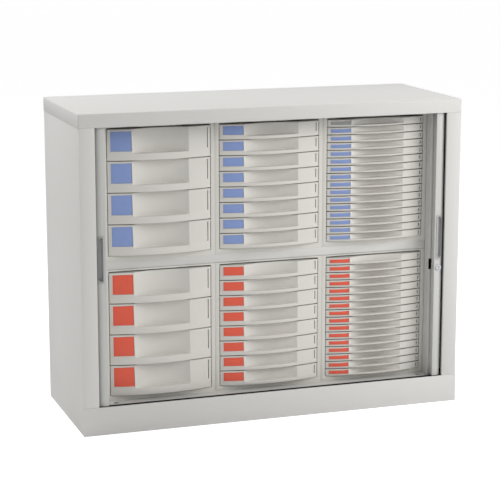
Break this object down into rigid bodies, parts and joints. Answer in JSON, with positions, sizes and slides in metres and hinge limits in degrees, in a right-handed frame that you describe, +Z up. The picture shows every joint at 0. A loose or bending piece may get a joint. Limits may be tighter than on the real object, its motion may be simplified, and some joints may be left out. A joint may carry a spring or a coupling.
{
  "type": "small parts drawer cabinet",
  "caption": "Low steel cabinet with two side-opening tambour shutters, open on rows of tall, medium and thin small-parts drawers with label cards.",
  "frame": {"origin": "middle of the footprint, on the floor", "axes": "+X along the front to the right as seen from the front, +Y from the front to the back, +Z up"},
  "size_m": [1.2, 0.46, 0.955],
  "materials": {
    "carcase_steel": "satin powder coat",
    "bar_coated_metal": "satin coat",
    "drawer_plastic": "smooth moulded",
    "housing_plastic": "smooth moulded",
    "slat_plastic": "smooth extruded",
    "handle_plastic": "fine matt",
    "track_plastic": "slippery matt",
    "zinc_plated_steel": "zinc plated",
    "lock_chrome": "polished"
  },
  "bodies": {
    "carcase": {"top_panel": "carcase_steel", "left_side_panel": "carcase_steel", "right_side_panel": "carcase_steel", "back_panel": "carcase_steel", "base_and_plinth": "carcase_steel", "centre_shelf": "carcase_steel", "pocket_liners_and_shelf_clips": "carcase_steel", "levelling_feet": "zinc_plated_steel", "shutter_tracks": "track_plastic", "tall_drawer_housings": "housing_plastic", "medium_drawer_housings": "housing_plastic", "thin_drawer_housings": "housing_plastic", "left_curtain": "slat_plastic", "right_curtain": "slat_plastic"},
    "left_shutter": {"left_lead_bar": "bar_coated_metal", "left_handle": "handle_plastic"},
    "right_shutter": {"right_lead_bar": "bar_coated_metal", "right_handle": "handle_plastic"},
    "lock_barrel": {"lock_barrel": "lock_chrome"},
    "lock_bolt": {"lock_bolt": "zinc_plated_steel"},
    "lower_tall_drawer_1": {"lower_tall_drawer_1": "drawer_plastic"},
    "lower_tall_drawer_2": {"lower_tall_drawer_2": "drawer_plastic"},
    "lower_tall_drawer_3": {"lower_tall_drawer_3": "drawer_plastic"},
    "lower_tall_drawer_4": {"lower_tall_drawer_4": "drawer_plastic"},
    "upper_tall_drawer_1": {"upper_tall_drawer_1": "drawer_plastic"},
    "upper_tall_drawer_2": {"upper_tall_drawer_2": "drawer_plastic"},
    "upper_tall_drawer_3": {"upper_tall_drawer_3": "drawer_plastic"},
    "upper_tall_drawer_4": {"upper_tall_drawer_4": "drawer_plastic"},
    "lower_medium_drawer_1": {"lower_medium_drawer_1": "drawer_plastic"},
    "lower_medium_drawer_2": {"lower_medium_drawer_2": "drawer_plastic"},
    "lower_medium_drawer_3": {"lower_medium_drawer_3": "drawer_plastic"},
    "lower_medium_drawer_4": {"lower_medium_drawer_4": "drawer_plastic"},
    "lower_medium_drawer_5": {"lower_medium_drawer_5": "drawer_plastic"},
    "lower_medium_drawer_6": {"lower_medium_drawer_6": "drawer_plastic"},
    "lower_medium_drawer_7": {"lower_medium_drawer_7": "drawer_plastic"},
    "lower_medium_drawer_8": {"lower_medium_drawer_8": "drawer_plastic"},
    "upper_medium_drawer_1": {"upper_medium_drawer_1": "drawer_plastic"},
    "upper_medium_drawer_2": {"upper_medium_drawer_2": "drawer_plastic"},
    "upper_medium_drawer_3": {"upper_medium_drawer_3": "drawer_plastic"},
    "upper_medium_drawer_4": {"upper_medium_drawer_4": "drawer_plastic"},
    "upper_medium_drawer_5": {"upper_medium_drawer_5": "drawer_plastic"},
    "upper_medium_drawer_6": {"upper_medium_drawer_6": "drawer_plastic"},
    "upper_medium_drawer_7": {"upper_medium_drawer_7": "drawer_plastic"},
    "upper_medium_drawer_8": {"upper_medium_drawer_8": "drawer_plastic"},
    "lower_thin_drawers_1_2": {"lower_thin_drawers_1_2": "drawer_plastic"},
    "lower_thin_drawers_3_4": {"lower_thin_drawers_3_4": "drawer_plastic"},
    "lower_thin_drawers_5_6": {"lower_thin_drawers_5_6": "drawer_plastic"},
    "lower_thin_drawers_7_8": {"lower_thin_drawers_7_8": "drawer_plastic"},
    "lower_thin_drawers_9_10": {"lower_thin_drawers_9_10": "drawer_plastic"},
    "lower_thin_drawers_11_12": {"lower_thin_drawers_11_12": "drawer_plastic"},
    "lower_thin_drawers_13_14": {"lower_thin_drawers_13_14": "drawer_plastic"},
    "lower_thin_drawers_15_16": {"lower_thin_drawers_15_16": "drawer_plastic"},
    "upper_thin_drawers_1_2": {"upper_thin_drawers_1_2": "drawer_plastic"},
    "upper_thin_drawers_3_4": {"upper_thin_drawers_3_4": "drawer_plastic"},
    "upper_thin_drawers_5_6": {"upper_thin_drawers_5_6": "drawer_plastic"},
    "upper_thin_drawers_7_8": {"upper_thin_drawers_7_8": "drawer_plastic"},
    "upper_thin_drawers_9_10": {"upper_thin_drawers_9_10": "drawer_plastic"},
    "upper_thin_drawers_11_12": {"upper_thin_drawers_11_12": "drawer_plastic"},
    "upper_thin_drawers_13_14": {"upper_thin_drawers_13_14": "drawer_plastic"},
    "upper_thin_drawers_15_16": {"upper_thin_drawers_15_16": "drawer_plastic"}
  },
  "joints": [
    {"name": "left_shutter_slide", "type": "slide", "parent": "carcase", "child": "left_shutter", "axis": [-1, 0, 0], "range_m": [-0.52, 0], "deforming": ["left_curtain"]},
    {"name": "right_shutter_slide", "type": "slide", "parent": "carcase", "child": "right_shutter", "axis": [1, 0, 0], "range_m": [-0.52, 0], "deforming": ["right_curtain"]},
    {"name": "lock_bolt_slide", "type": "slide", "parent": "right_shutter", "child": "lock_bolt", "axis": [1, 0, 0], "range_m": [-0.012, 0]},
    {"name": "lock_turn", "type": "hinge", "parent": "right_shutter", "child": "lock_barrel", "pos_m": [0.5348, -0.22, 0.432], "axis": [0, 1, 0], "range_deg": [-90, 0]},
    {"name": "lower_tall_drawer_1_slide", "type": "slide", "parent": "carcase", "child": "lower_tall_drawer_1", "axis": [0, -1, 0], "range_m": [0, 0.3]},
    {"name": "lower_tall_drawer_2_slide", "type": "slide", "parent": "carcase", "child": "lower_tall_drawer_2", "axis": [0, -1, 0], "range_m": [0, 0.3]},
    {"name": "lower_tall_drawer_3_slide", "type": "slide", "parent": "carcase", "child": "lower_tall_drawer_3", "axis": [0, -1, 0], "range_m": [0, 0.3]},
    {"name": "lower_tall_drawer_4_slide", "type": "slide", "parent": "carcase", "child": "lower_tall_drawer_4", "axis": [0, -1, 0], "range_m": [0, 0.3]},
    {"name": "upper_tall_drawer_1_slide", "type": "slide", "parent": "carcase", "child": "upper_tall_drawer_1", "axis": [0, -1, 0], "range_m": [0, 0.3]},
    {"name": "upper_tall_drawer_2_slide", "type": "slide", "parent": "carcase", "child": "upper_tall_drawer_2", "axis": [0, -1, 0], "range_m": [0, 0.3]},
    {"name": "upper_tall_drawer_3_slide", "type": "slide", "parent": "carcase", "child": "upper_tall_drawer_3", "axis": [0, -1, 0], "range_m": [0, 0.3]},
    {"name": "upper_tall_drawer_4_slide", "type": "slide", "parent": "carcase", "child": "upper_tall_drawer_4", "axis": [0, -1, 0], "range_m": [0, 0.3]},
    {"name": "lower_medium_drawer_1_slide", "type": "slide", "parent": "carcase", "child": "lower_medium_drawer_1", "axis": [0, -1, 0], "range_m": [0, 0.3]},
    {"name": "lower_medium_drawer_2_slide", "type": "slide", "parent": "carcase", "child": "lower_medium_drawer_2", "axis": [0, -1, 0], "range_m": [0, 0.3]},
    {"name": "lower_medium_drawer_3_slide", "type": "slide", "parent": "carcase", "child": "lower_medium_drawer_3", "axis": [0, -1, 0], "range_m": [0, 0.3]},
    {"name": "lower_medium_drawer_4_slide", "type": "slide", "parent": "carcase", "child": "lower_medium_drawer_4", "axis": [0, -1, 0], "range_m": [0, 0.3]},
    {"name": "lower_medium_drawer_5_slide", "type": "slide", "parent": "carcase", "child": "lower_medium_drawer_5", "axis": [0, -1, 0], "range_m": [0, 0.3]},
    {"name": "lower_medium_drawer_6_slide", "type": "slide", "parent": "carcase", "child": "lower_medium_drawer_6", "axis": [0, -1, 0], "range_m": [0, 0.3]},
    {"name": "lower_medium_drawer_7_slide", "type": "slide", "parent": "carcase", "child": "lower_medium_drawer_7", "axis": [0, -1, 0], "range_m": [0, 0.3]},
    {"name": "lower_medium_drawer_8_slide", "type": "slide", "parent": "carcase", "child": "lower_medium_drawer_8", "axis": [0, -1, 0], "range_m": [0, 0.3]},
    {"name": "upper_medium_drawer_1_slide", "type": "slide", "parent": "carcase", "child": "upper_medium_drawer_1", "axis": [0, -1, 0], "range_m": [0, 0.3]},
    {"name": "upper_medium_drawer_2_slide", "type": "slide", "parent": "carcase", "child": "upper_medium_drawer_2", "axis": [0, -1, 0], "range_m": [0, 0.3]},
    {"name": "upper_medium_drawer_3_slide", "type": "slide", "parent": "carcase", "child": "upper_medium_drawer_3", "axis": [0, -1, 0], "range_m": [0, 0.3]},
    {"name": "upper_medium_drawer_4_slide", "type": "slide", "parent": "carcase", "child": "upper_medium_drawer_4", "axis": [0, -1, 0], "range_m": [0, 0.3]},
    {"name": "upper_medium_drawer_5_slide", "type": "slide", "parent": "carcase", "child": "upper_medium_drawer_5", "axis": [0, -1, 0], "range_m": [0, 0.3]},
    {"name": "upper_medium_drawer_6_slide", "type": "slide", "parent": "carcase", "child": "upper_medium_drawer_6", "axis": [0, -1, 0], "range_m": [0, 0.3]},
    {"name": "upper_medium_drawer_7_slide", "type": "slide", "parent": "carcase", "child": "upper_medium_drawer_7", "axis": [0, -1, 0], "range_m": [0, 0.3]},
    {"name": "upper_medium_drawer_8_slide", "type": "slide", "parent": "carcase", "child": "upper_medium_drawer_8", "axis": [0, -1, 0], "range_m": [0, 0.3]},
    {"name": "lower_thin_drawers_1_2_slide", "type": "slide", "parent": "carcase", "child": "lower_thin_drawers_1_2", "axis": [0, -1, 0], "range_m": [0, 0.3]},
    {"name": "lower_thin_drawers_3_4_slide", "type": "slide", "parent": "carcase", "child": "lower_thin_drawers_3_4", "axis": [0, -1, 0], "range_m": [0, 0.3]},
    {"name": "lower_thin_drawers_5_6_slide", "type": "slide", "parent": "carcase", "child": "lower_thin_drawers_5_6", "axis": [0, -1, 0], "range_m": [0, 0.3]},
    {"name": "lower_thin_drawers_7_8_slide", "type": "slide", "parent": "carcase", "child": "lower_thin_drawers_7_8", "axis": [0, -1, 0], "range_m": [0, 0.3]},
    {"name": "lower_thin_drawers_9_10_slide", "type": "slide", "parent": "carcase", "child": "lower_thin_drawers_9_10", "axis": [0, -1, 0], "range_m": [0, 0.3]},
    {"name": "lower_thin_drawers_11_12_slide", "type": "slide", "parent": "carcase", "child": "lower_thin_drawers_11_12", "axis": [0, -1, 0], "range_m": [0, 0.3]},
    {"name": "lower_thin_drawers_13_14_slide", "type": "slide", "parent": "carcase", "child": "lower_thin_drawers_13_14", "axis": [0, -1, 0], "range_m": [0, 0.3]},
    {"name": "lower_thin_drawers_15_16_slide", "type": "slide", "parent": "carcase", "child": "lower_thin_drawers_15_16", "axis": [0, -1, 0], "range_m": [0, 0.3]},
    {"name": "upper_thin_drawers_1_2_slide", "type": "slide", "parent": "carcase", "child": "upper_thin_drawers_1_2", "axis": [0, -1, 0], "range_m": [0, 0.3]},
    {"name": "upper_thin_drawers_3_4_slide", "type": "slide", "parent": "carcase", "child": "upper_thin_drawers_3_4", "axis": [0, -1, 0], "range_m": [0, 0.3]},
    {"name": "upper_thin_drawers_5_6_slide", "type": "slide", "parent": "carcase", "child": "upper_thin_drawers_5_6", "axis": [0, -1, 0], "range_m": [0, 0.3]},
    {"name": "upper_thin_drawers_7_8_slide", "type": "slide", "parent": "carcase", "child": "upper_thin_drawers_7_8", "axis": [0, -1, 0], "range_m": [0, 0.3]},
    {"name": "upper_thin_drawers_9_10_slide", "type": "slide", "parent": "carcase", "child": "upper_thin_drawers_9_10", "axis": [0, -1, 0], "range_m": [0, 0.3]},
    {"name": "upper_thin_drawers_11_12_slide", "type": "slide", "parent": "carcase", "child": "upper_thin_drawers_11_12", "axis": [0, -1, 0], "range_m": [0, 0.3]},
    {"name": "upper_thin_drawers_13_14_slide", "type": "slide", "parent": "carcase", "child": "upper_thin_drawers_13_14", "axis": [0, -1, 0], "range_m": [0, 0.3]},
    {"name": "upper_thin_drawers_15_16_slide", "type": "slide", "parent": "carcase", "child": "upper_thin_drawers_15_16", "axis": [0, -1, 0], "range_m": [0, 0.3]}
  ],
  "couplings": [
    {"joint": "lock_turn", "follows": "lock_bolt_slide", "rad_per_m": 130.89}
  ]
}
